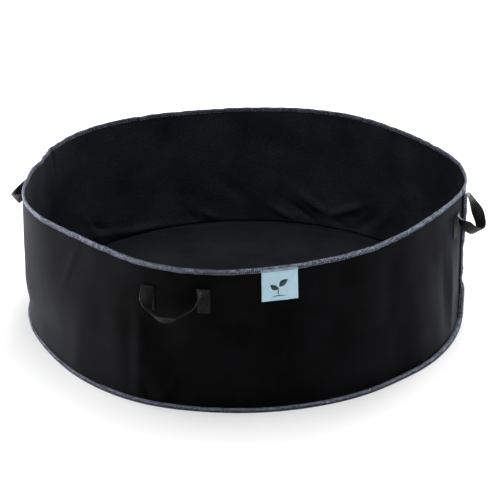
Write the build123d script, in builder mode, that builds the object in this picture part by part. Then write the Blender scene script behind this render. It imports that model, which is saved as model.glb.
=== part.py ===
"""Round fabric raised-bed grow bag: a felt wall sewn to a felt disc, with overlocked edges,
four webbing carry handles and a folded label.

Frame: millimetres, +Z up, origin on the ground at the centre of the round base.
The handles stand at the front (-Y), right (+X), back (+Y) and left (-X).
"""

from build123d import *
import os
from math import atan2, cos, degrees, hypot, pi, radians, sin

os.makedirs("parts", exist_ok=True)

# Driving dimensions
bag_height = 302.0  # cut edge of the wall, under its overlock
rim_radius = 457.0  # mean outer radius at the top: a 914 mm (36 in) bag
foot_radius = 465.0  # outer radius where the wall meets the base seam
felt = 2.5  # thickness of the wall and base felt
base_allowance = 10.0  # felt that stands out past the base seam
side_allowance = 12.0  # felt that stands out past the side seam
base_edge_radius = foot_radius + base_allowance

# The unfilled wall relaxes into soft lobes: waves round the rim, height, and bearing of a crest
rim_lobes = [
    (1, 1.2, 152.7),
    (2, 3.9, 27.4),
    (3, 11.0, 40.6),
    (4, 5.4, 9.8),
    (5, 5.6, 4.6),
    (6, 5.3, 25.9),
    (7, 2.8, 11.9),
]
outline_points = 72

# Overlock thread over the cut edges
thread = 0.8  # how far the thread stands off the felt
rim_bite = 9.0
base_bite = 8.0
side_bite = 8.0
needle_thread = 0.9

# Side seam, behind the loop of the right handle
side_seam_bearing = 5.0
side_seam_top = bag_height - rim_bite - 3.0

# Webbing handles
webbing_width = 25.0
webbing = 1.4
webbing_clearance = 0.5  # between a sewn tab and the wall, which is slightly hollow in places
handle_places = [  # name, bearing, and how much higher than the back one it is sewn
    ("front", -90.0, 3.0),
    ("right", 6.0, 10.0),
    ("back", 90.0, 0.0),
    ("left", 182.5, 0.0),
]
crest_half_spacing = 56.0
crest_height = 260.0
tab_bottom = 205.0
tab_top = 258.1
crest_stand_off = 4.2  # from the wall to the fold line of the strap
fold_radius = 1.25
loop_depth = 68.0
loop_hang = 37.0  # degrees out from straight down, as the strap hangs by its own stiffness
loop_sections = 13
stitch_width = 0.8
stitch_proud = 0.3
stitch_inset = 3.5

# Label under the rim overlock, between the front and the right handle
label_bearing = -65.5
label_width = 70.0
label_drop = 56.0
label_thickness = 0.9
label_clearance = 0.7
label_fold_drop = rim_bite + 2.4  # from the wall's cut edge to the label's fold line
label_fold_gap = 0.8  # from the fold line to the panel, and a little more to the sewn edge
label_sewn_height = 1.0
leaf_length = 30.0
leaf_width = 15.0
print_thickness = 0.15


def wall_radius(bearing, height):
    """Outer radius of the wall at a bearing in degrees from +X, at a height."""
    lobes = sum(size * cos(radians(waves * (bearing - crest))) for waves, size, crest in rim_lobes)
    return foot_radius + (rim_radius - foot_radius + lobes) * height / bag_height


def wall_point(bearing, height, out=0.0):
    """A point on the wall's outer face, moved straight out by some distance."""
    radius = wall_radius(bearing, height) + out
    return Vector(radius * cos(radians(bearing)), radius * sin(radians(bearing)), height)


def wall_plane(bearing, height, out=0.0):
    """A plane lying on the wall: x runs along it to the right, y runs up it, z points out."""
    step = 0.5
    along = wall_point(bearing + step, height) - wall_point(bearing - step, height)
    up = wall_point(bearing, height + step) - wall_point(bearing, height - step)
    plane = Plane(origin=wall_point(bearing, height), x_dir=along, z_dir=along.cross(up))
    return plane.offset(out)


def wall_outline(height, out=0.0):
    """The closed outline of the wall at a height, moved out by some distance."""
    bearings = [360 * i / outline_points for i in range(outline_points)]
    with BuildSketch(Plane.XY.offset(height)) as outline:
        with BuildLine():
            Spline(*[tuple(wall_point(b, height, out))[:2] for b in bearings], periodic=True)
        make_face()
    return outline.sketch.face()


def wall_block(bottom, top, out=0.0):
    """A solid block that fills the wall's outline between two heights."""
    with BuildPart() as block:
        loft([wall_outline(bottom, out), wall_outline(top, out)], ruled=True)
    return block.part


def save(name, builder):
    """Labels a finished piece and writes it."""
    builder.part.label = name
    export_step(builder.part, f"parts/{name}.step")


# Base disc, its edge pressed in on the underside by the overlock thread
base_edge_inner = base_edge_radius - base_bite
with BuildPart() as base_disc:
    with BuildSketch():
        Circle(base_edge_radius)
    extrude(amount=felt)
    with BuildSketch():
        Circle(base_edge_radius)
        Circle(base_edge_inner, mode=Mode.SUBTRACT)
    extrude(amount=thread, mode=Mode.SUBTRACT)
save("base_disc", base_disc)

# Side wall: one strip of felt closed by the side seam, its foot turned out over the base
flange_top = 2 * felt
with BuildPart() as side_seam_plies:
    seam_face = Plane(
        origin=(0, 0, 0),
        x_dir=(cos(radians(side_seam_bearing)), sin(radians(side_seam_bearing)), 0),
        z_dir=(sin(radians(side_seam_bearing)), -cos(radians(side_seam_bearing)), 0),
    )
    low_radius = wall_radius(side_seam_bearing, flange_top)
    high_radius = wall_radius(side_seam_bearing, side_seam_top)
    with BuildSketch(seam_face):
        with BuildLine():
            Polyline(
                (low_radius - felt / 2, flange_top),
                (low_radius + side_allowance, flange_top),
                (high_radius + side_allowance, side_seam_top),
                (high_radius - felt / 2, side_seam_top),
                close=True,
            )
        make_face()
    extrude(amount=felt, both=True)

with BuildPart() as side_wall:
    add(wall_block(felt, bag_height))
    add(side_seam_plies.part)
    with BuildSketch(Plane.XY.offset(felt)):
        Circle(base_edge_radius)
    extrude(amount=felt)
    with BuildSketch(Plane.XY.offset(flange_top)):
        Circle(base_edge_radius)
        Circle(base_edge_inner, mode=Mode.SUBTRACT)
    extrude(amount=-thread, mode=Mode.SUBTRACT)
    add(wall_block(felt - 1, bag_height + 1, out=-felt), mode=Mode.SUBTRACT)
save("side_wall", side_wall)

# Overlock thread round the rim, over both faces of the wall
with BuildPart() as rim_overlock:
    add(wall_block(bag_height - rim_bite, bag_height + thread, out=thread))
    add(
        wall_block(bag_height - rim_bite - 1, bag_height + thread + 1, out=-felt - thread),
        mode=Mode.SUBTRACT,
    )
    add(side_wall.part, mode=Mode.SUBTRACT)
save("rim_overlock", rim_overlock)

# Overlock thread round the base seam, over the edges of both felts
with BuildPart() as base_overlock:
    with BuildSketch(Plane.XZ):
        with BuildLine():
            Polyline(
                (base_edge_inner, 0),
                (base_edge_radius + thread, 0),
                (base_edge_radius + thread, flange_top),
                (base_edge_inner, flange_top),
                (base_edge_inner, flange_top - thread),
                (base_edge_radius, flange_top - thread),
                (base_edge_radius, thread),
                (base_edge_inner, thread),
                close=True,
            )
        make_face()
    revolve(axis=Axis.Z)
save("base_overlock", base_overlock)

# Needle thread of the base seam, lying on the turned-out foot of the wall
with BuildPart() as base_needle_thread:
    with BuildSketch(Plane.XY.offset(flange_top)):
        Circle(base_edge_inner - needle_thread / 2)
        Circle(base_edge_inner - 3 * needle_thread / 2, mode=Mode.SUBTRACT)
    extrude(amount=needle_thread / 2)
    add(side_seam_plies.part, mode=Mode.SUBTRACT)
save("base_needle_thread", base_needle_thread)

# Overlock thread down the side seam, over the edges of both plies
seam_low = flange_top + needle_thread
with BuildPart() as side_seam_overlock:
    with BuildSketch(seam_face):
        with BuildLine():
            Polyline(
                (low_radius + side_allowance - side_bite, seam_low),
                (low_radius + side_allowance + thread, seam_low),
                (high_radius + side_allowance + thread, side_seam_top),
                (high_radius + side_allowance - side_bite, side_seam_top),
                close=True,
            )
        make_face()
    extrude(amount=felt + thread, both=True)
    add(side_seam_plies.part, mode=Mode.SUBTRACT)
save("side_seam_overlock", side_seam_overlock)

# Needle thread of the side seam, one line on each outer face of its plies
with BuildPart() as side_seam_needle_thread:
    for side in (-1, 1):
        with BuildSketch(seam_face.offset(side * felt)):
            with BuildLine():
                Polyline(
                    (low_radius + side_allowance - side_bite - 2 * needle_thread, seam_low),
                    (low_radius + side_allowance - side_bite - needle_thread, seam_low),
                    (high_radius + side_allowance - side_bite - needle_thread, side_seam_top),
                    (high_radius + side_allowance - side_bite - 2 * needle_thread, side_seam_top),
                    close=True,
                )
            make_face()
        extrude(amount=side * needle_thread / 2)
save("side_seam_needle_thread", side_seam_needle_thread)


# Handles: at each place the strap is sewn down twice and hangs between as a loop
def crest_bearing(bearing, side):
    """Bearing of one end of a handle; side is -1 for its left end, 1 for its right."""
    return bearing + side * degrees(crest_half_spacing / wall_radius(bearing, crest_height))


def fold_ends(bearing, raised):
    """The left and right ends of a handle's fold line."""
    height = crest_height + raised
    return [wall_point(crest_bearing(bearing, side), height, crest_stand_off) for side in (-1, 1)]


def loop_plane(bearing, raised):
    """Plane of a loop at rest: x along its fold line, y out and down into the hanging loop."""
    left, right = fold_ends(bearing, raised)
    along = right - left
    outward = along.cross(Vector(0, 0, 1)).normalized()
    into_loop = outward * sin(radians(loop_hang)) - Vector(0, 0, 1) * cos(radians(loop_hang))
    return Plane(origin=(left + right) / 2, x_dir=along, z_dir=along.cross(into_loop))


def smooth(value):
    """Eases 0 to 1 with level ends."""
    value = min(max(value, 0), 1)
    return value * value * (3 - 2 * value)


def loop_section(plane, half_span, share):
    """Plane across the strap at a share of its way round, x across the strap's width.

    The strap leaves each fold flat, then turns a quarter so that it can bend round the loop.
    """
    angle = pi * share
    centre = plane.from_local_coords((-half_span * cos(angle), loop_depth * sin(angle)))
    ahead = Vector(half_span * sin(angle), loop_depth * cos(angle)).normalized()
    beside = Vector(-ahead.Y, ahead.X)
    turn = 90 * smooth(min(share, 1 - share) / 0.36)
    local_width = beside * cos(radians(turn)) + Vector(0, 0, 1) * sin(radians(turn))
    width = plane.from_local_coords(local_width) - plane.origin
    along = plane.from_local_coords(ahead) - plane.origin
    return Plane(origin=centre, x_dir=width, z_dir=along)


def make_handle(place, bearing, raised):
    """Writes one handle's two sewn tabs, its box stitches and its hanging loop."""
    mid_height = (tab_bottom + tab_top) / 2 + raised
    for side, side_name in ((-1, "left"), (1, "right")):
        tab_plane = wall_plane(crest_bearing(bearing, side), mid_height, webbing_clearance)
        with BuildPart() as tab:
            with BuildSketch(tab_plane):
                Rectangle(webbing_width, tab_top - tab_bottom)
            extrude(amount=webbing)
        save(f"{place}_handle_{side_name}_tab", tab)

    with BuildPart() as stitches:
        for side in (-1, 1):
            stitch_plane = wall_plane(
                crest_bearing(bearing, side), mid_height, webbing_clearance + webbing
            )
            box_width = webbing_width - 2 * stitch_inset
            box_height = tab_top - tab_bottom - 2 * stitch_inset
            lean = degrees(atan2(box_height, box_width))
            with BuildSketch(stitch_plane):
                Rectangle(box_width, box_height)
                Rectangle(
                    box_width - 2 * stitch_width, box_height - 2 * stitch_width, mode=Mode.SUBTRACT
                )
                diagonal = hypot(box_width, box_height) - 2 * stitch_width
                Rectangle(diagonal, stitch_width, rotation=lean)
                Rectangle(diagonal, stitch_width, rotation=-lean)
            extrude(amount=stitch_proud)
    save(f"{place}_handle_box_stitches", stitches)

    plane = loop_plane(bearing, raised)
    left, right = fold_ends(bearing, raised)
    half_span = (right - left).length / 2
    with BuildPart() as loop:
        for i in range(loop_sections):
            with BuildSketch(loop_section(plane, half_span, i / (loop_sections - 1))):
                Rectangle(webbing_width, webbing)
        loft()
        for end in (-1, 1):
            fold_start = plane.from_local_coords((end * half_span - webbing_width / 2, 0, 0))
            with BuildSketch(Plane(origin=fold_start, x_dir=plane.z_dir, z_dir=plane.x_dir)):
                Circle(fold_radius)
            extrude(amount=webbing_width)
    save(f"{place}_handle_loop", loop)
    return plane


for place, bearing, raised in handle_places:
    fold = make_handle(place, bearing, raised)
    print(place, "handle fold line", fold.origin, fold.x_dir)

# Label: its sewn edge is held against the wall, the rest hangs free on the fold below it
label_back = wall_plane(label_bearing, bag_height - label_fold_drop, label_clearance)
with BuildPart() as label_sewn_edge:
    with BuildSketch(label_back):
        with Locations((0, label_fold_drop - rim_bite - 0.1)):
            Rectangle(label_width, label_sewn_height, align=(Align.CENTER, Align.MAX))
    extrude(amount=label_thickness)
save("label_sewn_edge", label_sewn_edge)

with BuildPart() as label_panel:
    with BuildSketch(label_back):
        with Locations((0, -label_fold_gap)):
            Rectangle(label_width, label_drop, align=(Align.CENTER, Align.MAX))
    extrude(amount=label_thickness)
save("label_panel", label_panel)

# Printed leaf on the label's face
with BuildPart() as label_leaf_print:
    with BuildSketch(label_back.offset(label_thickness)):
        with BuildLine():
            tip = (0, -label_drop / 2 + leaf_length / 2)
            stem = (0, -label_drop / 2 - leaf_length / 2)
            ThreePointArc(tip, (leaf_width / 2, -label_drop / 2), stem)
            ThreePointArc(stem, (-leaf_width / 2, -label_drop / 2), tip)
        make_face()
    extrude(amount=print_thickness)
save("label_leaf_print", label_leaf_print)
label_fold = label_back.offset(label_thickness / 2)
print("label fold line", label_fold.origin, label_fold.x_dir)
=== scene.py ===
"""Visual model of the round fabric grow bag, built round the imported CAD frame.

Shapes are worked out in millimetres and written to their meshes in metres. Bearings are in
degrees from +X, heights are above the ground. The felt is one thin sheet whose middle surface
is given by wall_middle(); everything sewn to it asks that surface for its place.
"""
from math import cos, degrees, pi, radians, sin

import bpy
import numpy as np
from mathutils import Matrix, Vector


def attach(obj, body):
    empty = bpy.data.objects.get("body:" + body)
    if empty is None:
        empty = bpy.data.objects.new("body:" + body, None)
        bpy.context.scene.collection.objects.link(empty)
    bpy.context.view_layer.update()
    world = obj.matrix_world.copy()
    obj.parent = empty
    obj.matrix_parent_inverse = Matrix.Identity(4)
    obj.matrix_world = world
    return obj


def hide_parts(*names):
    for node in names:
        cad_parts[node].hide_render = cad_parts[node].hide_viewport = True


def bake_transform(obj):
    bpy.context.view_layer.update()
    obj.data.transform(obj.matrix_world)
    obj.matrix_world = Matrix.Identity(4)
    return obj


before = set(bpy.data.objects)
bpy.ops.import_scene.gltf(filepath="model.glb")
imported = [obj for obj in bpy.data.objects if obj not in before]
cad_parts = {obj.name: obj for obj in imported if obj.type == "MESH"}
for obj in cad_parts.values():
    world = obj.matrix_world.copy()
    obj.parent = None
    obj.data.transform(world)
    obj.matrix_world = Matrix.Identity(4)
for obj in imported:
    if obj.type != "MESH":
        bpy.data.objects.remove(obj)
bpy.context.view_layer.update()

MM = 0.001
UP = np.array([0, 0, 1.0])

# Sizes that the CAD model has too, in millimetres and degrees
wall_top = 302.0
rim_radius = 457.0  # of the outer face at the rim, before its lobes
foot_radius = 465.0  # of the outer face at the foot
felt = 2.5  # thickness of the felt
base_edge_radius = 475.0
# the rim's outline as waves round the bag: number of waves, size, bearing of a crest
rim_lobes = [(1, 1.2, 152.7), (2, 3.9, 27.4), (3, 11.0, 40.6), (4, 5.4, 9.8)]
rim_lobes += [(5, 5.6, 4.6), (6, 5.3, 25.9), (7, 2.8, 11.9)]
seam_bearing = 5.0
seam_stand_out = 12.0
seam_top = 290.0
webbing_width = 25.0
webbing = 1.4  # thickness of the webbing
# a strap's crest is its fold line, above the sewn tab
crest_half_spacing = 56.0
crest_height = 260.0
tab_bottom = 205.0
tab_top = 258.1
crest_stand_off = 4.2
webbing_clearance = 0.5
loop_depth = 68.0
loop_hang = 37.0
label_bearing = -65.5
label_width = 70.0
handle_bearings = {"front": -90.0, "right": 6.0, "back": 90.0, "left": 182.5}
handle_raised = {"front": 3.0, "right": 10.0, "back": 0.0, "left": 0.0}

# Mesh fineness
columns = 800  # round the wall
wall_rows = 49
disc_rings = 90


# ---- mesh helpers

def in_scene(name, data):
    """A new object for a mesh, a light or a camera."""
    made = bpy.data.objects.new(name, data)
    bpy.context.scene.collection.objects.link(made)
    return made


def new_object(name, shape, material):
    """A smooth mesh object from points in millimetres, faces and cloth coordinates in metres.

    Faces are an array of quads and a list of end caps.
    """
    vertices, quads, caps, uv = shape
    mesh = bpy.data.meshes.new(name)
    mesh.from_pydata((np.asarray(vertices, float) * MM).tolist(), [], quads.tolist() + caps)
    corners = np.zeros(len(mesh.loops), np.int64)
    mesh.loops.foreach_get("vertex_index", corners)
    layer = mesh.uv_layers.new(name="cloth")
    layer.data.foreach_set("uv", np.asarray(uv, np.float32)[corners].ravel())
    mesh.polygons.foreach_set("use_smooth", [True] * len(mesh.polygons))
    mesh.update()
    mesh.materials.append(material)
    return in_scene(name, mesh)


def grid_faces(rows, across, wrap_rows=False, wrap_across=False):
    """Quads of a grid whose points run row by row."""
    i = np.arange(rows if wrap_rows else rows - 1)
    j = np.arange(across if wrap_across else across - 1)
    i, j = (g.ravel() for g in np.meshgrid(i, j, indexing="ij"))
    next_i = (i + 1) % rows
    next_j = (j + 1) % across
    return np.stack(
        [i * across + j, i * across + next_j, next_i * across + next_j, next_i * across + j], 1
    )


def unit(vectors):
    """Vectors along the last axis, at length 1."""
    return vectors / np.maximum(np.linalg.norm(vectors, axis=-1, keepdims=True), 1e-12)


def smooth_step(value):
    """Rises smoothly from 0 to 1 as the value does."""
    value = np.clip(value, 0, 1)
    return value * value * (3 - 2 * value)


thread_girth = 4.0  # cloth coordinates round a thread, in millimetres


def run(points):
    """Distance along a line of points, at each of them."""
    return np.concatenate([[0], np.cumsum(np.linalg.norm(np.diff(points, axis=0), axis=1))])


def lofted(rows, across, along):
    """A band through closed rows of points, capped at both ends, with its cloth coordinates."""
    count, around = rows.shape[:2]
    uv = np.stack([np.tile(across, count), np.repeat(along, around)], 1) * MM
    quads = grid_faces(count, around, wrap_across=True)
    first = list(range(around))
    last = [corner + (count - 1) * around for corner in first]
    return rows.reshape(-1, 3), quads, [first[::-1], last], uv


def tube(points, radius, reference, sides=5):
    """A round thread along points; reference is never along the thread."""
    ahead = unit(np.gradient(points, axis=0))
    across = unit(np.cross(ahead, reference))
    up = np.cross(across, ahead)
    angles = np.arange(sides) * 2 * pi / sides
    cosine, sine = np.cos(angles)[None, :, None], np.sin(angles)[None, :, None]
    ring = across[:, None] * cosine + up[:, None] * sine
    return lofted(points[:, None] + ring * radius, angles / (2 * pi) * thread_girth, run(points))


def joined(parts):
    """Several shapes as one."""
    starts = np.cumsum([0] + [len(part[0]) for part in parts[:-1]]).tolist()
    vertices = np.concatenate([part[0] for part in parts])
    quads = np.concatenate([part[1] + start for part, start in zip(parts, starts)])
    caps = [[i + start for i in cap] for part, start in zip(parts, starts) for cap in part[2]]
    return vertices, quads, caps, np.concatenate([part[3] for part in parts])


# ---- the felt's surface

# Soft folds of the wall: bearing, height, half length, half width (mm), lean from upright
# (degrees), and how far the felt stands out (mm, inwards if negative)
wall_folds = [
    (260.2, 110, 120, 17, 3, 4.5),
    (254.0, 150, 150, 40, 0, 3.0),
    (267.5, 110, 130, 30, -3, -5.0),
    (267.0, 30, 36, 8, 34, 3.0),
    (273.0, 16, 28, 8, 46, 2.6),
    (262.0, 18, 24, 9, -24, -2.6),
    (326.5, 205, 90, 38, 3, -4.0),
    (315.0, 130, 130, 50, -5, 2.5),
    (338.0, 130, 110, 44, 4, 1.8),
    (356.0, 90, 90, 15, 2, 2.2),
    (351.0, 120, 100, 18, 0, -1.4),
    (208.0, 145, 95, 60, 0, 5.0),
    (204.0, 92, 48, 90, 0, 6.0),
    (238.0, 60, 80, 26, 14, 1.6),
    (300.0, 60, 70, 30, -38, 3.0),
    (286.0, 45, 60, 20, 52, 3.2),
    (291.0, 150, 100, 36, 12, -2.6),
    (94.0, 30, 34, 8, 62, -6.0),
    (83.5, 56, 46, 10, 58, -8.0),
    (88.0, 36, 40, 8, 56, 5.5),
    (72.5, 62, 52, 10, -64, -7.0),
    (77.5, 26, 40, 9, 66, 4.6),
    (66.0, 40, 50, 14, -50, 6.0),
    (60.0, 70, 60, 18, -40, -4.0),
    (116.0, 24, 26, 7, 58, -5.0),
    (121.0, 20, 24, 7, 40, 4.0),
    (109.0, 90, 60, 16, 50, 3.4),
    (156.0, 60, 46, 10, 30, -6.0),
    (148.0, 26, 60, 10, 78, -7.0),
    (152.0, 46, 50, 9, 60, 5.0),
    (136.0, 14, 52, 8, 86, -5.0),
    (45.0, 140, 130, 26, 6, 5.0),
    (52.0, 150, 120, 24, 0, -5.0),
    (96.0, 150, 90, 50, 10, -4.0),
    (106.0, 200, 90, 36, 8, 3.6),
    (130.0, 170, 120, 32, -10, 4.0),
    (64.0, 220, 70, 34, -6, -4.5),
    (17.0, 150, 140, 26, 3, -2.6),
    (176.5, 296, 40, 9, 14, -3.0),
    (172.0, 290, 40, 8, 8, 4.0),
    (181.5, 300, 60, 26, 0, -6.0),
    (196.0, 200, 120, 26, -4, -2.4),
]
# Places that stay calm, because something is sewn there: bearing, height, half spans (mm)
calm_places = [
    (bearing, 235.0 + handle_raised[place], 86.0, 50.0)
    for place, bearing in handle_bearings.items()
]
calm_places.append((label_bearing, 265.0, 50.0, 60.0))
# Where the soft base has been pushed in or out of its round: bearing, half width (degrees), mm
foot_shifts = [(223, 22, -16.0), (262, 11, 3.5), (327, 9, -4.0), (285, 12, 1.0)]
# Where the wall stands back from the base seam and leaves a ledge, or bulges over it if
# negative: bearing, half width (degrees), mm
foot_tucks = [(312, 26, 8.0), (268, 16, 2.5), (212, 30, -6.8)]
# Heights up to which those two change the wall
shift_height = 190
tuck_height = 75


def plain_radius(bearing, height):
    """Radius of the felt's middle surface with its lobes but no folds."""
    lobes = sum(
        size * np.cos(np.radians(waves * (bearing - crest))) for waves, size, crest in rim_lobes
    )
    taper = np.clip(height / wall_top, 0, 1.02)
    settled = bumps(bearing, foot_shifts) * (1 - smooth_step(height / shift_height))
    tucked = bumps(bearing, foot_tucks) * (1 - smooth_step(height / tuck_height))
    return foot_radius - felt / 2 + (rim_radius - foot_radius + lobes) * taper + settled - tucked


def arc_between(bearing, other):
    """Distance along the wall in millimetres from one bearing to another."""
    return ((bearing - other + 180) % 360 - 180) * pi / 180 * foot_radius


def bumps(bearing, places):
    """Sum of smooth bumps; each place is a bearing, a half width in degrees and a size."""
    return sum(
        size * np.exp(-((((bearing - middle + 180) % 360) - 180) / width) ** 2)
        for middle, width, size in places
    )


def wall_relief(bearing, height):
    """How far the felt stands out from its plain surface: folds, dents and swell together."""
    bearing, height = np.broadcast_arrays(bearing, height)
    relief = np.zeros(bearing.shape)
    for fold_bearing, fold_height, length, width, lean, depth in wall_folds + soft_dents:
        along = arc_between(bearing, fold_bearing)
        up = height - fold_height
        tilt = radians(lean)
        across = along * cos(tilt) - up * sin(tilt)
        down = along * sin(tilt) + up * cos(tilt)
        relief += depth * np.exp(-((across / width) ** 2) - (down / length) ** 2)
    angle = np.radians(bearing)
    for waves, rise, size, phase in swell_waves:
        relief += size * np.sin(waves * angle + rise * height + phase)
    for place_bearing, place_height, half_along, half_up in calm_places:
        away = (arc_between(bearing, place_bearing) / half_along) ** 4
        away = away + ((height - place_height) / half_up) ** 4
        relief *= 1 - np.exp(-away)
    return relief * smooth_step(height / calm_foot)


calm_foot = 14  # mm above the ground, below which the base seam holds the wall to its line
random = np.random.default_rng(36)
# Slight swell of the felt: waves round the bag, turn with height (rad/mm), size (mm), phase
swell_waves = list(zip(
    random.integers(7, 34, 14),
    random.uniform(-0.03, 0.03, 14),
    random.uniform(0.05, 0.22, 14),
    random.uniform(0, 2 * pi, 14),
))
# Faint dents all over, given as the folds above are
soft_dents = list(zip(
    random.uniform(0, 360, 70),
    random.uniform(20, 270, 70),
    random.uniform(30, 110, 70),
    random.uniform(9, 34, 70),
    random.normal(0, 34, 70),
    random.uniform(-1.5, 1.5, 70),
))
# Unevenness of the rim: waves round the bag, size, phase
rim_waves = list(zip(
    random.integers(14, 90, 10),
    random.uniform(0.1, 0.38, 10),
    random.uniform(0, 2 * pi, 10),
))
rim_unevenness = 0.6  # share of those sizes, in millimetres


def rim_height(bearing):
    """Height of the wall's cut edge, a little uneven as cut by hand."""
    angle = np.radians(bearing)
    wavy = sum(size * np.sin(waves * angle + phase) for waves, size, phase in rim_waves)
    return wall_top + wavy * rim_unevenness


# The wall's middle surface runs in along the base seam's flange, round a bend and up
foot_bend = 4.5  # radius of the bend
flange_middle = 3.75  # height of the flange, which lies on the base disc
flange_length = base_edge_radius - (foot_radius - felt / 2) - foot_bend
upright_start = flange_length + foot_bend * pi / 2
wall_length = upright_start + wall_top - flange_middle - foot_bend


def wall_middle(bearing, distance):
    """Points on the felt's middle surface, by distance in from the base seam's cut edge."""
    bearing, distance = np.broadcast_arrays(bearing, distance)
    top = rim_height(bearing)
    on_flange = distance < flange_length
    turn = np.clip((distance - flange_length) / foot_bend, 0, pi / 2)
    upright = np.clip(distance - upright_start, 0, None)
    low = flange_middle + foot_bend
    upright = upright * (top - low) / (wall_top - low)
    height = flange_middle + foot_bend * (1 - np.cos(turn)) + upright
    bend_out = foot_bend * (1 - np.sin(turn))
    radius = plain_radius(bearing, np.maximum(height, 0)) + bend_out + wall_relief(bearing, height)
    ledge = distance * (1 + bumps(bearing, foot_tucks) / flange_length)
    foot_edge = base_edge_radius + bumps(bearing, foot_shifts)
    radius = np.where(on_flange, foot_edge - ledge, radius)
    angle = np.radians(bearing)
    sag = np.where(on_flange, flange_ripple(bearing) * (1 - distance / flange_length), 0)
    return np.stack([radius * np.cos(angle), radius * np.sin(angle), height + sag], -1)


def flange_ripple(bearing):
    """Slight lift of the base seam's edge along its length."""
    angle = np.radians(bearing)
    broad = 0.2 * np.sin(23 * angle + 1.0)
    return 0.25 + broad + 0.16 * np.sin(61 * angle) + 0.1 * np.sin(97 * angle)


def wall_frame(bearing, distance):
    """Middle point, direction along the wall, direction up it and outward normal."""
    middle = wall_middle(bearing, distance)
    turn, step = 0.12, 0.8  # degrees and millimetres over which the slopes are taken
    along = unit(wall_middle(bearing + turn, distance) - wall_middle(bearing - turn, distance))
    # at the cut edges the difference is taken on the inside
    ahead = np.clip(distance + step, 0, wall_length)
    behind = np.clip(distance - step, 0, wall_length)
    up = unit(wall_middle(bearing, ahead) - wall_middle(bearing, behind))
    normal = unit(np.cross(along, up))
    return middle, along, up, normal


def on_wall(bearing, height):
    """Points on the wall's outer face, and the directions along, up and out there."""
    distance = upright_start + height - flange_middle - foot_bend
    middle, along, up, normal = wall_frame(bearing, distance)
    return middle + normal * (felt / 2), along, up, normal


def wall_spot(bearing, height):
    """The same at a single place."""
    return [part[0] for part in on_wall(np.array([bearing]), np.array([height]))]


# ---- materials

# Spacing of the weaves and of a thread's twist, in metres
cord_spacing, pick_spacing = 0.00165, 0.0012
twist_spacing = 0.0011
warp_spacing, weft_spacing = 0.0004, 0.0007


def node_material(name):
    """A new material, its node tree and its shader."""
    material = bpy.data.materials.new(name)
    material.use_nodes = True
    tree = material.node_tree
    return material, tree, tree.nodes["Principled BSDF"]


def set_plain(shader, **values):
    """Constant values on the shader's own sockets."""
    for key, value in values.items():
        shader.inputs[key.replace("_", " ")].default_value = value


def texture_place(tree, scale=(1, 1, 1), turn=0.0):
    """Cloth coordinates in metres, scaled and turned."""
    coordinates = tree.nodes.new("ShaderNodeTexCoord")
    mapping = tree.nodes.new("ShaderNodeMapping")
    mapping.inputs["Scale"].default_value = scale
    mapping.inputs["Rotation"].default_value = (0, 0, turn)
    tree.links.new(coordinates.outputs["UV"], mapping.inputs["Vector"])
    return mapping.outputs["Vector"]


def noise(tree, vector, scale, detail=3.0, roughness=0.55):
    """Noise of about scale lumps to the unit of the vector."""
    texture = tree.nodes.new("ShaderNodeTexNoise")
    texture.inputs["Scale"].default_value = scale
    texture.inputs["Detail"].default_value = detail
    texture.inputs["Roughness"].default_value = roughness
    tree.links.new(vector, texture.inputs["Vector"])
    return texture.outputs["Fac"]


def ramp(tree, value, stops):
    """Colours along a value; stops are (place, colour)."""
    made = tree.nodes.new("ShaderNodeValToRGB")
    elements = made.color_ramp.elements
    while len(elements) < len(stops):
        elements.new(0.5)
    for element, (place, colour) in zip(elements, stops):
        element.position = place
        element.color = (*colour, 1)
    tree.links.new(value, made.inputs["Fac"])
    return made.outputs["Color"]


def maths(tree, operation, first, second=None):
    """Result of a maths node; each value is a number or another node's output."""
    made = tree.nodes.new("ShaderNodeMath")
    made.operation = operation
    for socket, value in zip(made.inputs, (first, second)):
        if value is None:
            continue
        if isinstance(value, (int, float)):
            socket.default_value = value
        else:
            tree.links.new(value, socket)
    return made.outputs[0]


def multiplied(tree, first, second):
    """Product of two colours."""
    made = tree.nodes.new("ShaderNodeMix")
    made.data_type = "RGBA"
    made.blend_type = "MULTIPLY"
    made.inputs["Factor"].default_value = 1.0
    tree.links.new(first, made.inputs["A"])
    tree.links.new(second, made.inputs["B"])
    return made.outputs["Result"]


def ripples(tree, value, length):
    """Sine of a value, with waves of the given length in metres."""
    return maths(tree, "SINE", maths(tree, "MULTIPLY", value, 2 * pi / length))


def split_place(tree):
    """Cloth coordinates across and along, in metres."""
    split = tree.nodes.new("ShaderNodeSeparateXYZ")
    tree.links.new(texture_place(tree), split.inputs["Vector"])
    return split.outputs["X"], split.outputs["Y"]


def grey(level):
    """A grey, as red, green and blue."""
    return (level,) * 3


def bumped(tree, shader, layers):
    """Chains bump maps; layers are (height, distance in mm, strength)."""
    normal = None
    for height, distance, strength in layers:
        bump = tree.nodes.new("ShaderNodeBump")
        bump.inputs["Distance"].default_value = distance * MM
        bump.inputs["Strength"].default_value = strength
        tree.links.new(height, bump.inputs["Height"])
        if normal is not None:
            tree.links.new(normal, bump.inputs["Normal"])
        normal = bump.outputs["Normal"]
    tree.links.new(normal, shader.inputs["Normal"])


def coloured(tree, shader, colour, roughness):
    """Gives the shader a colour and a roughness that vary over the surface."""
    tree.links.new(colour, shader.inputs["Base Color"])
    tree.links.new(roughness, shader.inputs["Roughness"])


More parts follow.
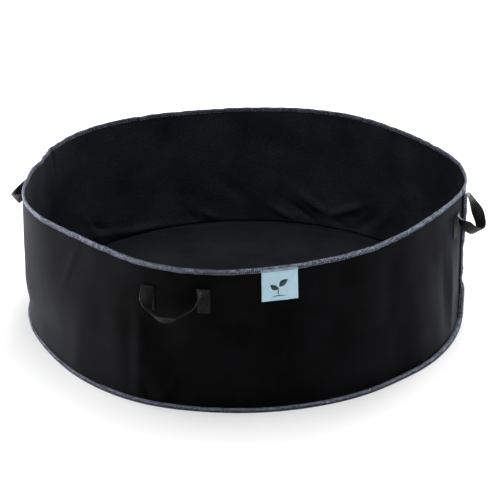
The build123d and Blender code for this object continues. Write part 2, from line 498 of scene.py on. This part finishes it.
def felt_material(name, dark, light, sheen):
    """Needle-punched felt: matted fibres at all angles, cloudy in tone, with a soft bloom."""
    material, tree, shader = node_material(name)
    plain = texture_place(tree)
    clouds = noise(tree, plain, 9.0, 4.0)
    mottle = noise(tree, plain, 240.0, 4.0, 0.65)
    # fibres at three slants: stretch of the noise across and along, and its turn
    slants = [((420, 2600, 1), 0.5), ((2600, 420, 1), 0.35), ((500, 2400, 1), -0.9)]
    first, second, third = (
        noise(tree, texture_place(tree, scale, turn), 1.0, 2.0) for scale, turn in slants
    )
    fibres = maths(tree, "MAXIMUM", first, maths(tree, "MAXIMUM", second, third))
    base = ramp(tree, clouds, [(0.32, dark), (0.7, light)])
    speck = ramp(tree, mottle, [(0.35, grey(0.62)), (0.72, (1.45, 1.45, 1.47))])
    lint = ramp(tree, fibres, [(0.55, grey(0.78)), (0.8, (1.7, 1.72, 1.78))])
    colour = multiplied(tree, multiplied(tree, base, speck), lint)
    coloured(tree, shader, colour, ramp(tree, mottle, [(0.3, grey(0.86)), (0.8, grey(0.98))]))
    set_plain(shader, Sheen_Weight=sheen, Sheen_Roughness=0.3, Specular_IOR_Level=0.04)
    shader.inputs["Sheen Tint"].default_value = (0.82, 0.86, 1.0, 1)
    bumped(tree, shader, [(mottle, 0.9, 0.55), (fibres, 0.5, 0.6)])
    return material


def webbing_material(name, dark, light):
    """Woven polypropylene webbing: cords along the strap crossed by fine weft, with painted shade
    in the weave's hollows.
    """
    material, tree, shader = node_material(name)
    across, along = split_place(tree)
    cords = ripples(tree, across, cord_spacing)
    slant = maths(tree, "ADD", maths(tree, "MULTIPLY", cords, 0.00022), along)
    picks = ripples(tree, slant, pick_spacing)
    weave = maths(tree, "MULTIPLY", maths(tree, "ABSOLUTE", cords), picks)
    height = maths(tree, "ADD", maths(tree, "MULTIPLY", weave, 0.5), cords)
    # the node's third value, left at 0.5, is added to the product
    height = maths(tree, "MULTIPLY_ADD", height, 0.25)
    wear = noise(tree, texture_place(tree), 130.0, 3.0)
    base = ramp(tree, wear, [(0.3, dark), (0.75, light)])
    # colour follows the weave's height: raised cords painted lighter, hollows painted darker
    # (painted shade)
    raised = maths(tree, "ADD", height, 0.5)
    tone = ramp(tree, raised, [(0.1, grey(0.6)), (0.9, (1.5, 1.5, 1.52))])
    rough = ramp(tree, wear, [(0.3, grey(0.42)), (0.8, grey(0.6))])
    coloured(tree, shader, multiplied(tree, base, tone), rough)
    set_plain(shader, Sheen_Weight=0.055, Sheen_Roughness=0.3, Specular_IOR_Level=0.13)
    bumped(tree, shader, [(height, 0.4, 0.7)])
    return material


def thread_material(name, dark, light, rough, sheen):
    """Twisted sewing thread, mottled in patches that run on from stitch to stitch, with painted
    shade in the twist's grooves.
    """
    material, tree, shader = node_material(name)
    across, along = split_place(tree)
    # the node's third value, left at 0.5, is a phase
    wound = maths(tree, "MULTIPLY_ADD", along, 2 * pi / twist_spacing)
    round_it = maths(tree, "MULTIPLY", across, 2 * pi / (thread_girth * MM))
    twist = maths(tree, "SINE", maths(tree, "ADD", wound, round_it))
    place = tree.nodes.new("ShaderNodeTexCoord").outputs["Object"]
    fuzz = noise(tree, place, 250.0, 2.0)
    # colour follows the twist as well as the fuzz: painted shade in the twist's grooves, random
    # patches from the fuzz
    tone = maths(tree, "ADD", maths(tree, "MULTIPLY", twist, 0.1), fuzz)
    roughness = ramp(tree, fuzz, [(0.2, grey(rough - 0.1)), (0.8, grey(rough + 0.12))])
    coloured(tree, shader, ramp(tree, tone, [(0.4, dark), (0.64, light)]), roughness)
    set_plain(shader, Sheen_Weight=sheen, Sheen_Roughness=0.35, Specular_IOR_Level=0.4)
    bumped(tree, shader, [(twist, 0.12, 0.6)])
    return material


def label_material(name, base, pale):
    """Satin label tape: a very fine weave, faintly cloudy."""
    material, tree, shader = node_material(name)
    across, along = split_place(tree)
    warp, weft = ripples(tree, across, warp_spacing), ripples(tree, along, weft_spacing)
    weave = maths(tree, "MULTIPLY", warp, weft)
    clouds = noise(tree, texture_place(tree), 60.0, 3.0)
    # the weave's hollows are painted a little darker (painted shade); the clouds are random tone
    tone = maths(tree, "ADD", maths(tree, "MULTIPLY", weave, 0.12), clouds)
    rough = ramp(tree, clouds, [(0.3, grey(0.42)), (0.8, grey(0.55))])
    coloured(tree, shader, ramp(tree, tone, [(0.2, base), (0.8, pale)]), rough)
    set_plain(shader, Sheen_Weight=0.1, Specular_IOR_Level=0.45)
    bumped(tree, shader, [(weave, 0.05, 0.5), (clouds, 0.3, 0.3)])
    return material


wall_felt = felt_material("wall_felt", (0.0011, 0.0011, 0.0013), (0.0044, 0.0044, 0.0052), 0.185)
# Inner face of the wall: the same felt, painted lighter to stand in for the light that falls into
# the bag (painted light)
inner_felt_painted_light = felt_material("inner_felt_painted_light", (0.018, 0.0202, 0.0262), (0.036, 0.0402, 0.052), 0.0)
# Base disc: the same felt, painted lighter than the wall's to stand in for the light on the
# upward-facing base (painted light)
disc_felt_painted_light = felt_material("disc_felt_painted_light", (0.008, 0.009, 0.0113), (0.015, 0.0168, 0.0205), 0.17)
strap_cloth = webbing_material("strap_cloth", (0.0008, 0.0008, 0.0011), (0.003, 0.003, 0.004))
slate_thread = thread_material(
    "slate_thread", (0.03, 0.04, 0.065), (0.40, 0.46, 0.60), rough=0.62, sheen=0.3
)
black_thread = thread_material(
    "black_thread", (0.002, 0.002, 0.0024), (0.006, 0.006, 0.007), rough=0.5, sheen=0.03
)
label_cloth = label_material("label_cloth", (0.36, 0.55, 0.66), (0.46, 0.65, 0.75))
label_ink = label_material("label_ink", (0.004, 0.010, 0.015), (0.012, 0.024, 0.032))


# ---- felt pieces

def sheet_band(middle, normal, half_thickness, cap=2):
    """Closed band of felt: rows of middle points with rounded cut edges; columns wrap round."""
    bulge = 0.45  # how far the cut edges stand out, in millimetres

    def edge(last, inner, across, turn):
        """Rows round one cut edge, from the front to the back (turn 1) or back again (-1)."""
        beyond = unit(last - inner)
        angles = [turn * (pi / 2 - pi * step / (cap + 1)) for step in range(1, cap + 1)]
        return [
            last + across * sin(angle) * half_thickness + beyond * cos(angle) * bulge
            for angle in angles
        ]

    rows = list(middle + normal * half_thickness)
    rows += edge(middle[-1], middle[-2], normal[-1], 1)
    rows += list(middle - normal * half_thickness)[::-1]
    rows += edge(middle[0], middle[1], normal[0], -1)
    return np.stack(rows)


def build_side_wall():
    """The wall strip: turned-out foot, wall and cut rim, one closed band of felt."""
    foot = np.linspace(0, flange_length, 6)[:-1]
    bend = np.linspace(flange_length, upright_start, 7)[:-1]
    wall = np.linspace(upright_start, wall_length, wall_rows)
    distance = np.concatenate([foot, bend, wall])
    bearing = np.arange(columns) * 360 / columns
    middle, _, _, normal = wall_frame(bearing[None, :], distance[:, None])
    # the felt stands out a little along the side seam, where its two ends meet
    ridge, half_ridge, above_bend = 1.4, 5.0, 20
    near_seam = np.exp(-((arc_between(bearing, seam_bearing) / half_ridge) ** 2))[None, :, None]
    drawn = near_seam * smooth_step((distance - upright_start) / above_bend)[:, None, None]
    middle = middle + normal * drawn * ridge
    rows = sheet_band(middle, normal, felt / 2)
    around = np.tile(np.radians(bearing) * foot_radius, len(rows))
    step = np.linalg.norm(np.diff(rows, axis=0), axis=2).mean(1)
    down = np.repeat(np.concatenate([[0], np.cumsum(step)]), columns)
    uv = np.stack([around, down], 1) * MM
    quads = grid_faces(len(rows), columns, wrap_rows=True, wrap_across=True)
    piece = new_object("side_wall_felt", (rows.reshape(-1, 3), quads, [], uv), wall_felt)
    # the inner face takes the lighter copy of the felt, painted light
    piece.data.materials.append(inner_felt_painted_light)
    inner = np.arange(len(quads)) // columns >= len(distance)
    piece.data.polygons.foreach_set("material_index", inner.astype(np.int32))
    return piece


def disc_relief(x, y):
    """Height of the base felt's soft buckles, in millimetres."""
    height = np.zeros(np.shape(x))
    for cx, cy, length, width, lean, size in disc_folds:
        tilt = radians(lean)
        along = (x - cx) * cos(tilt) + (y - cy) * sin(tilt)
        across = -(x - cx) * sin(tilt) + (y - cy) * cos(tilt)
        height += size * np.exp(-((along / length) ** 2) - (across / width) ** 2)
    return height


# Buckles of the base: middle x and y, half length, half width (mm), turn (degrees), height (mm)
disc_folds = [
    (-330, 290, 120, 14, 48, 6.0),
    (-250, 350, 110, 12, 35, 4.5),
    (60, 420, 90, 12, -8, 3.5),
    (220, 370, 90, 14, -38, 4.5),
    (-120, 60, 260, 40, 20, 1.6),
    (140, -80, 220, 50, -35, 1.4),
    (-40, -260, 240, 36, 8, 1.8),
    (300, 120, 180, 40, 70, 1.6),
    (-320, -80, 160, 36, -75, 1.8),
]


def build_base_disc():
    """The round base: soft buckles on top, flat where it lies on the ground."""
    smallest, crowding = 0.004, 0.85  # of the rings, as a share of the radius and a power
    flat_from, flat_over = foot_radius - 24, 18  # no buckle runs into the base seam
    ring = np.linspace(smallest, 1, disc_rings) ** crowding * base_edge_radius
    bearing = np.radians(np.arange(columns // 2) * 720 / columns)
    reach = 1 + bumps(np.degrees(bearing), foot_shifts) / base_edge_radius
    x = ring[:, None] * np.cos(bearing) * reach
    y = ring[:, None] * np.sin(bearing) * reach
    inside = 1 - smooth_step((ring - flat_from) / flat_over)[:, None]
    lift = np.maximum(disc_relief(x, y), 0) * inside
    top = np.stack([x, y, felt + lift - 0.05], -1)
    # the underside leaves the ground where a buckle is more than half a millimetre high
    bottom = np.stack([x, y, np.maximum(lift - 0.5, 0) * 0.9], -1)
    rounded = 1.0009  # the cut edge stands out by about 0.4 mm at half its thickness
    edge = np.stack([x[-1] * rounded, y[-1] * rounded, np.full(len(bearing), felt / 2)], -1)
    rows = np.concatenate([top, edge[None], bottom[::-1]])
    points, quads, caps, _ = lofted(rows, bearing, np.zeros(len(rows)))
    # the cloth coordinates of a disc are its own x and y
    return new_object("base_disc_felt", (points, quads, caps, points[:, :2] * MM), disc_felt_painted_light)


def seam_lean(height):
    """How far the side seam's edge leans round the wall at a height, in millimetres.

    It stands out near the ground and leans back against the wall above.
    """
    back = 11.1 * smooth_step((height - 66) / 26) - 2.0 * smooth_step((height - 180) / 40)
    forward = -2.0 * np.exp(-(((height - 42) / 26) ** 2))
    ripple = 0.5 * np.sin(height / 11.0) + 0.35 * np.sin(height / 5.3 + 1)
    return back + forward + ripple * smooth_step(height / 40)


def seam_station(height):
    """Root point, outward direction, sideways direction and up direction of the side seam."""
    root, along, up, normal = on_wall(np.full(np.shape(height), seam_bearing), height)
    lean = seam_lean(height)[..., None]
    rise = np.sqrt(np.maximum(seam_stand_out**2 - lean**2, 8.0))
    outward = unit(normal * rise + along * lean)
    side = unit(np.cross(up, outward))
    return root, outward, side, up


def build_side_seam_plies():
    """The strip's two ends, sewn together and left standing out from the wall."""
    height = np.linspace(6.2, seam_top, 130)
    root, outward, side, _ = seam_station(height)
    reach, groove = seam_stand_out, 0.35
    # one ply's outline from its root to its edge: how far out and how far to the side
    ply = [
        (-1.6, felt + 1.2),
        (0.0, felt + 0.35),
        (1.6, felt - 0.1),
        (4.0, felt - 0.25),
        (8.0, felt - 0.1),
        (reach - 0.8, felt),
        (reach, felt * 0.72),
        (reach + 0.1, felt * 0.4),
    ]
    other_ply = [(out, -across) for out, across in reversed(ply)]
    outline = ply + [(reach - groove, 0.0)] + other_ply
    profile = [root + outward * out + side * across for out, across in outline]
    rows = np.stack(profile, 1)
    return new_object("side_seam_plies", lofted(rows, run(rows[0]), height), wall_felt)


# ---- overlock thread

def over_label(share):
    """How far the rim's outer thread is lifted by the label under it."""
    beside = np.abs(arc_between(share * 360 + seam_bearing, label_bearing)) - label_width / 2
    lift, slope = 1.5, 4.0
    return lift * (1 - smooth_step(beside / slope))


def overlock(stations, along_length, pitch, bite, half_thickness, radius, seed, lifted=None):
    """Overlock stitching over a cut edge.

    stations(share) gives points on the edge's middle, the direction into the cloth, the normal
    and the direction along the edge, for shares from 0 to 1. One looper thread zigzags on each
    face and turns over the edge; a needle thread runs along each face at the bite. lifted(share)
    is how far the first face's threads are raised by what lies under them.
    """
    # one loop: how far along in pitches, how deep into the cloth, share of the stand-off
    loop = [
        (0.00, bite, 0.80),
        (0.35, bite * 0.62, 1.00),
        (0.75, bite * 0.16, 1.00),
        (0.95, -0.55, 0.45),
        (1.10, -0.55, 0.40),
        (1.15, bite * 0.20, 1.00),
        (1.02, bite * 0.70, 1.00),
    ]
    # one needle stitch: how far along in pitches, how far above the cloth in thread radii
    needle = [(0.0, -0.5), (0.12, 0.5), (0.5, 0.75), (0.84, 0.5), (0.96, -0.5)]
    unevenness = 0.55  # of the loops' depth, in millimetres
    count = max(4, int(round(along_length / pitch)))
    shaky = np.random.default_rng(seed)
    parts = []

    def row(stitch, face, late=0.0):
        """What stations() and lifted() give under a row of stitches, and the stitch's shape."""
        step, *shape = (np.tile(column, count) for column in zip(*stitch))
        share = (np.repeat(np.arange(count), len(stitch)) + late + step) / count
        raised = lifted(share) if lifted and face == 1 else 0
        return *stations(np.clip(share, 0, 1)), raised, *shape

    for face in (1, -1):
        points, inward, normal, along, raised, depth, height = row(loop, face, 0.25 * (face < 0))
        wobble = np.repeat(shaky.normal(0, unevenness, count), len(loop))
        stand = height * (half_thickness + radius * 0.55 + raised)
        path = points + inward * (depth + wobble * (depth > 1))[:, None]
        path = path + normal * (face * stand)[:, None]
        parts.append(tube(path, radius, along))
        points, inward, normal, _, raised, rise = row(needle, face)
        stand = half_thickness + radius * rise + raised
        path = points + inward * (bite + 0.4) + normal * (face * stand)[:, None]
        parts.append(tube(path, radius * 0.8, inward, sides=4))
    return joined(parts)


def rim_stations(share):
    """Stations for overlock() round the rim, from the side seam on."""
    bearing = share * 360 + seam_bearing
    middle, along, up, normal = wall_frame(bearing, np.full(np.shape(share), wall_length))
    return middle + up * 0.1, -up, normal, along


def base_stations(share):
    """Stations round the base seam, midway between the wall's flange and the base disc."""
    bearing = share * 360 + seam_bearing
    middle, along, _, _ = wall_frame(bearing, np.zeros(np.shape(share)))
    level = middle * [1, 1, 0] + [0, 0, felt] + (middle[:, 2:] - flange_middle) * [0, 0, 0.5]
    outward = unit(middle * [1, 1, 0])
    return level, -outward, np.broadcast_to(UP, outward.shape), along


def seam_stations(share):
    """Stations up the side seam's edge."""
    height = 8.0 + share * (seam_top - 8.6)
    root, outward, side, up = seam_station(height)
    return root + outward * seam_stand_out, -outward, side, up


def build_overlocks():
    """The slate-blue thread of the rim, the base seam and the side seam."""
    pitch, bite, radius = 3.7, 7.6, 0.6
    rim_run, base_run = 2 * pi * rim_radius, 2 * pi * base_edge_radius
    rim = overlock(rim_stations, rim_run, pitch, 7.8, felt / 2, radius, 1, over_label)
    base = overlock(base_stations, base_run, pitch, bite, felt, radius, 2)
    side = overlock(seam_stations, seam_top, pitch, bite, felt, radius, 3)
    for name, shape, replaced in (
        ("rim_overlock_thread", rim, ["rim_overlock"]),
        ("base_overlock_thread", base, ["base_overlock", "base_needle_thread"]),
        ("side_seam_overlock_thread", side, ["side_seam_overlock", "side_seam_needle_thread"]),
    ):
        piece = new_object(name, shape, slate_thread)
        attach(piece, "bag")
        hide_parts(*replaced)


# ---- handles

def crest_frame(place):
    """A handle's fold line: middle, direction, outward direction, half span and half angle."""
    bearing, height = handle_bearings[place], crest_height + handle_raised[place]
    offset = degrees(crest_half_spacing / (plain_radius(bearing, crest_height) + felt / 2))
    ends = []
    for side in (-1, 1):
        angle = bearing + side * offset
        radius = plain_radius(angle, height) + felt / 2 + crest_stand_off
        ends.append(np.array([radius * cos(radians(angle)), radius * sin(radians(angle)), height]))
    along = unit(ends[1] - ends[0])
    outward = np.cross(along, UP)
    half_span = np.linalg.norm(ends[1] - ends[0]) / 2
    return (ends[0] + ends[1]) / 2, along, outward, half_span, offset


# How each strap has settled. lean: sideways lean of the loop (mm). left, right: shares of its
# length in which its legs take their quarter turn. roll, leg: how far it rolls past that turn
# at its foot and on its right leg (degrees). depth: of the loop, as a share. kink: in its right
# leg (mm). tilt: how much higher its right end is sewn (mm). out: how much further out it hangs
# (degrees).
settled_evenly = dict(roll=0, leg=0, depth=1.0, kink=0.0, tilt=0.0, out=0)
strap_habits = {
    "front": dict(lean=-8.0, left=0.34, right=0.10, roll=14, leg=-24, kink=3.5, tilt=7.0),
    "right": dict(lean=4.0, left=0.16, right=0.34, depth=1.03, out=-3),
    "back": dict(lean=4.0, left=0.30, right=0.34, roll=4, depth=0.97, out=3),
    "left": dict(lean=-3.0, left=0.34, right=0.28, out=12),
}
strap_habits = {place: settled_evenly | habit for place, habit in strap_habits.items()}


def strap_path(place):
    """Middle line of one handle's strap and the direction across its width, end to end."""
    habit = strap_habits[place]
    bearing, raised = handle_bearings[place], handle_raised[place]
    middle, along, outward, half_span, offset = crest_frame(place)
    hang = radians(loop_hang + habit["out"])
    into_loop = outward * sin(hang) - UP * cos(hang)
    loop_normal = outward * cos(hang) + UP * sin(hang)

    def tab(side):
        """The strap's sewn end at one side, from its foot up, flat on the wall."""
        rows = np.linspace(tab_bottom + 0.5, tab_top - 3.5, 26) + raised
        rows = rows + side * habit["tilt"] / 2
        spot, spot_along, _, normal = on_wall(np.full(len(rows), bearing + side * offset), rows)
        lift = webbing_clearance + webbing / 2
        return spot + normal * lift, np.repeat(spot_along[:1], len(rows), 0)

    def loop():
        """The hanging loop, and how the strap turns along it."""
        share = np.linspace(0, 1, 110)
        angle = pi * share
        lean = habit["lean"] * np.sin(angle) ** 2
        kink = habit["kink"] * np.exp(-(((share - 0.80) / 0.05) ** 2))
        flat = -half_span * np.cos(angle) + lean + kink
        deep = (loop_depth - webbing / 2) * habit["depth"] * np.sin(angle) ** 0.92
        line = middle + along * flat[:, None] + into_loop * deep[:, None]
        line = line - UP * (habit["tilt"] / 2 * np.cos(angle))[:, None]
        ahead = unit(np.gradient(np.stack([flat, deep], 1), axis=0))
        turn = smooth_step(share / habit["left"]) * smooth_step((1 - share) / habit["right"])
        foot = np.exp(-(((share - 0.47) / 0.13) ** 2))
        leg = smooth_step((share - 0.56) / 0.1) * smooth_step((1 - share) / habit["right"])
        turn = np.radians(90 * turn + habit["roll"] * foot + habit["leg"] * leg)
        beside = along * (-ahead[:, 1])[:, None] + into_loop * ahead[:, :1]
        width = beside * np.cos(turn)[:, None] + loop_normal * np.sin(turn)[:, None]
        return line, width

    left_line, left_width = tab(-1)
    right_line, right_width = tab(1)
    loop_line, loop_width = loop()
    fold = 9  # steps of a fold

    def folded(tab_line, loop_start):
        """Rounded fold from the top of a tab over to the start of the loop."""
        low, high = tab_line[-1], loop_start
        rows = []
        for k in range(1, fold):
            t = k / fold
            lift = UP * 3.6 * sin(pi * t) ** 0.8 + UP * 1.2 * t
            rows.append(low * (1 - t) + (high - UP * 0.6) * t + lift)
        return np.array(rows)

    skip = 4  # points of the loop that each fold takes the place of
    up_fold = folded(left_line, loop_line[skip])
    down_fold = folded(right_line, loop_line[-1 - skip])[::-1]
    line = np.concatenate([left_line, up_fold, loop_line[skip:-skip], down_fold, right_line[::-1]])
    ease = np.linspace(0, 1, fold + 1)[1:-1, None]
    width_up = unit(-left_width[-1] * (1 - ease) + loop_width[skip] * ease)
    width_down = unit(right_width[-1] * (1 - ease) + loop_width[-1 - skip] * ease)[::-1]
    width = np.concatenate(
        [-left_width, width_up, loop_width[skip:-skip], width_down, right_width[::-1]]
    )
    # the folds and the loop are eased into each other; the tabs' lower parts stay flat
    for _ in range(3):
        keep = line.copy()
        line[20:-20] = (keep[19:-21] + 2 * keep[20:-20] + keep[21:-19]) / 4
    return line, unit(width), middle, outward


def build_strap(place):
    """One webbing strap: sewn flat at both ends, hanging between in a twisted loop."""
    line, width, middle, outward = strap_path(place)
    ahead = unit(np.gradient(line, axis=0))
    width = unit(width - ahead * (width * ahead).sum(1, keepdims=True))
    normal = np.cross(ahead, width)
    half_width, half = webbing_width / 2, webbing / 2
    # outline across the strap: ribbed faces that thin towards rounded edges
    across = np.linspace(-1, 1, 17)
    ribs = 0.05 * np.cos(across * 12 * pi)
    face = [(half_width * s, half * (1 - 0.25 * abs(s) ** 8) + r) for s, r in zip(across, ribs)]
    edge = half_width + 0.25
    profile = face + [(edge, 0.0)] + [(x, -y) for x, y in reversed(face)] + [(-edge, 0.0)]
    rows = np.stack([line + width * x + normal * y for x, y in profile], 1)
    along = run(line)
    shape = lofted(rows, np.array([x for x, _ in profile]), along)
    piece = new_object(f"{place}_handle_strap", shape, strap_cloth)
    handle = f"{place}_handle"
    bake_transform(piece)
    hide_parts(f"{handle}_loop", f"{handle}_left_tab", f"{handle}_right_tab")


def stitch_row(start, end, pitch):
    """Starts and ends of the stitches between two points on a flat patch."""
    start, end = np.array(start, float), np.array(end, float)
    length = np.linalg.norm(end - start)
    count = max(2, int(round(length / pitch)))
    step = (end - start) / count
    return [(start + step * (k + 0.12), start + step * (k + 0.88)) for k in range(count)]


def build_box_stitches(place):
    """Box and cross stitching that holds both ends of one strap."""
    bearing = handle_bearings[place]
    offset = crest_frame(place)[4]
    parts = []
    wide = webbing_width / 2 - 3.5
    tall = (tab_top - tab_bottom) / 2 - 4.5
    centre = (tab_top + tab_bottom) / 2 - 1.0 + handle_raised[place]
    pitch, radius = 3.2, 0.33
    corners = [(-wide, -tall), (wide, -tall), (wide, tall), (-wide, tall)]
    sides_and_cross = [(0, 1), (1, 2), (2, 3), (3, 0), (0, 2), (1, 3)]
    rows = [stitch_row(corners[k], corners[m], pitch) for k, m in sides_and_cross]
    # one stitch: shares of its length, and how far it stands above the webbing there
    shares = np.array([0, 0.12, 0.5, 0.88, 1])[:, None]
    lifts = np.array([-0.35, 0.12, 0.26, 0.12, -0.35])[:, None]
    lifts = lifts + webbing_clearance + webbing + 0.12
    for side in (-1, 1):
        angle = bearing + side * offset
        middle = centre + side * strap_habits[place]["tilt"] / 2
        spot, along, up, normal = wall_spot(angle, middle)
        for start, end in sum(rows, []):
            flat = start * (1 - shares) + end * shares
            path = spot + along * flat[:, :1] + up * flat[:, 1:] + normal * lifts
            parts.append(tube(path, radius, np.cross(normal, unit(path[-1] - path[0]))))
    piece = new_object(f"{place}_handle_stitching", joined(parts), black_thread)
    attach(piece, "bag")
    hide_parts(f"{place}_handle_box_stitches")


# ---- label

def build_label():
    """Folded label: both layers caught under the rim's overlock, the fold hanging at the foot."""
    rows, across_count = 44, 30
    half_width, half_cloth = label_width / 2, 0.13
    top_height, drop = wall_top - 3.4, 64.3
    across = np.linspace(-half_width, half_width, across_count)
    spot, _, _, normal = wall_spot(label_bearing, wall_top - 40.0)
    share = np.linspace(0, 1, rows)
    height = top_height - drop * share
    bearing = label_bearing + np.degrees(across / (foot_radius - 6))
    # each layer stands off the wall, curls at its sides and waves a little
    layers = []
    for layer in (0, 1):
        face, _, _, face_normal = on_wall(bearing[None, :], height[:, None])
        stand = 0.55 + layer * 0.75 + 1.5 * smooth_step((share - 0.15) / 0.85)[:, None]
        curl = 1.1 * (np.abs(across) / half_width)[None, :] ** 3 * share[:, None] ** 2
        wave = 0.5 * np.sin(across / 13.0 + 0.7)[None, :] * share[:, None]
        layers.append(face + face_normal * (stand + curl + wave)[..., None])
    turn = layers[1][-1] * 0.5 + layers[0][-1] * 0.5 - UP * 0.55
    cloth = np.concatenate([layers[1], turn[None], layers[0][::-1]])
    outward = unit(np.cross(np.gradient(cloth, axis=0), np.gradient(cloth, axis=1)))
    count = len(cloth) * across_count
    index = np.arange(count).reshape(len(cloth), across_count)
    edge = np.concatenate([index[0], index[1:, -1], index[-1, -2::-1], index[-2:0:-1, 0]])
    after = np.roll(edge, -1)
    faces = grid_faces(len(cloth), across_count)
    rims = np.stack([after, edge, edge + count, after + count], 1)
    quads = np.concatenate([faces, faces[:, ::-1] + count, rims])
    sides = [cloth + outward * half_cloth, cloth - outward * half_cloth]
    points = np.concatenate([side.reshape(-1, 3) for side in sides])
    down = np.repeat(run(cloth[:, 0]), across_count)
    uv = np.stack([np.tile(across, len(cloth)), down], 1) * MM
    piece = new_object("folded_label", (points, quads, [], np.concatenate([uv, uv])), label_cloth)
    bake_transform(piece)
    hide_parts("label_panel", "label_sewn_edge")

    def on_label(x, y):
        """A point just off the label's front, from its width's middle and down from its top."""
        column = np.interp(x, across, np.arange(across_count))
        row = np.interp(y, share * drop, np.arange(rows))
        i, j = np.clip(int(row), 0, rows - 2), np.clip(int(column), 0, across_count - 2)
        a, b = row - i, column - j
        grid = layers[1]
        left = grid[i, j] * (1 - a) + grid[i + 1, j] * a
        right = grid[i, j + 1] * (1 - a) + grid[i + 1, j + 1] * a
        return left * (1 - b) + right * b + normal * 0.17

    def leaf(x, y, length, width, lean):
        """A bowed strip with pointed ends, from its stalk; a thin one is a line."""
        steps, bow = 14, 1.6
        tilt = radians(lean)
        spots = []
        for t in np.arange(steps + 1) / steps:
            half_leaf = width / 2 * sin(pi * t**0.85) + 0.01
            forward = length * t
            for side in (-1, 0, 1):
                aside = side * half_leaf + bow * sin(pi * t)
                right = forward * cos(tilt) - aside * sin(tilt)
                up = forward * sin(tilt) + aside * cos(tilt)
                spots.append(on_label(x + right, y - up))
        spots = np.array(spots)
        return spots, grid_faces(steps + 1, 3)[:, ::-1], [], spots[:, [0, 2]] * MM

    # the printed sprout, a thin skin of ink: two leaves, the stem and the ground line
    sprout = [
        leaf(-1.5, 37.0, 22.0, 11.5, 38),
        leaf(-3.0, 41.5, 19.0, 10.0, 148),
        leaf(-2.6, 55.0, 19.0, 2.0, 88),
        leaf(-17.0, 57.0, 30.0, 1.8, 2),
    ]
    ink = new_object("label_sprout_print", joined(sprout), label_ink)
    # the skin gets its thickness from the modifier
    thick = ink.modifiers.new("ink", "SOLIDIFY")
    thick.thickness = 0.12 * MM
    thick.offset = 0
    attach(ink, "label")
    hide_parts("label_leaf_print")


# ---- assembly

def declare_felt(wall, disc, plies):
    """What the felt pieces ride on and stand for."""
    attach(wall, "bag")
    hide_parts("side_wall")
    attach(disc, "bag")
    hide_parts("base_disc")
    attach(plies, "bag")


declare_felt(build_side_wall(), build_base_disc(), build_side_seam_plies())
build_overlocks()
for handle_place in handle_bearings:
    build_strap(handle_place)
    build_box_stitches(handle_place)
build_label()


# ---- floor, lights and camera

def build_floor():
    """A pale floor that runs far past the picture."""
    material, tree, shader = node_material("floor_paper")
    tone = noise(tree, texture_place(tree), 3.0, 2.0)
    colour = ramp(tree, tone, [(0.2, grey(0.92)), (0.8, grey(0.93))])
    tree.links.new(colour, shader.inputs["Base Color"])
    set_plain(shader, Roughness=0.9, Specular_IOR_Level=0.1)
    size = 12000.0
    corners = [(-size, -size, 0), (size, -size, 0), (size, size, 0), (-size, size, 0)]
    shape = corners, np.array([[0, 1, 2, 3]]), [], [(0, 0), (1, 0), (1, 1), (0, 1)]
    new_object("floor", shape, material)


def area_light(name, place, target, size, power):
    """A white softbox turned to its target; metres and watts."""
    light = bpy.data.lights.new(name, "AREA")
    light.shape = "RECTANGLE"
    light.size, light.size_y = size
    light.energy = power
    lamp = in_scene(name, light)
    lamp.location = place
    lamp.rotation_euler = (Vector(target) - Vector(place)).to_track_quat("-Z", "Y").to_euler()


# The camera's place round the bag, in degrees and metres, and its lens
camera_bearing = 16.0  # towards +X from the front
camera_elevation = 23.91
camera_roll = -0.74
camera_distance = 3.656
camera_target = (0.0, 0.0, 0.151)
focal_share = 3.39  # focal length as a share of the sensor's width
camera_shift = (0.014, -0.0156)


def build_camera():
    """The camera at the photograph's viewing angle."""
    data = bpy.data.cameras.new("camera")
    data.sensor_width = 36.0
    data.lens = focal_share * data.sensor_width
    data.shift_x, data.shift_y = camera_shift
    data.clip_end = 100.0
    camera = in_scene("camera", data)
    azimuth, elevation, roll = map(radians, (camera_bearing, camera_elevation, camera_roll))
    back = Vector((sin(azimuth) * cos(elevation), -cos(azimuth) * cos(elevation), sin(elevation)))
    right = Vector((cos(azimuth), sin(azimuth), 0))
    up = back.cross(right)
    turned_right = right * cos(roll) + up * sin(roll)
    turned_up = up * cos(roll) - right * sin(roll)
    place = Vector(camera_target) + back * camera_distance
    rotation = Matrix((turned_right, turned_up, back)).transposed().to_4x4()
    camera.matrix_world = Matrix.Translation(place) @ rotation
    bpy.context.scene.camera = camera


def build_studio():
    """Soft light from the left, right, back and overhead, under a pale world."""
    scene = bpy.context.scene
    world = bpy.data.worlds.new("studio")
    world.use_nodes = True
    background = world.node_tree.nodes["Background"]
    background.inputs["Color"].default_value = (1, 1, 1, 1)
    background.inputs["Strength"].default_value = 0.22
    scene.world = world
    scene.view_settings.view_transform = "Standard"
    area_light("left_softbox", (-2.6, 0.0, 0.17), (-0.4, 0, 0.15), (2.4, 0.3), 118)
    area_light("right_softbox", (2.6, 0.7, 0.17), (0.4, 0, 0.15), (1.8, 0.3), 19)
    area_light("back_softbox", (0.4, 3.0, 0.9), (0, 0, 0.2), (3.0, 1.6), 190)
    overhead = bpy.data.lights.new("overhead", "SUN")
    overhead.energy = 2.7
    overhead.angle = radians(70)
    in_scene("overhead", overhead).rotation_euler = (radians(8), 0, 0)


build_floor()
build_studio()
build_camera()
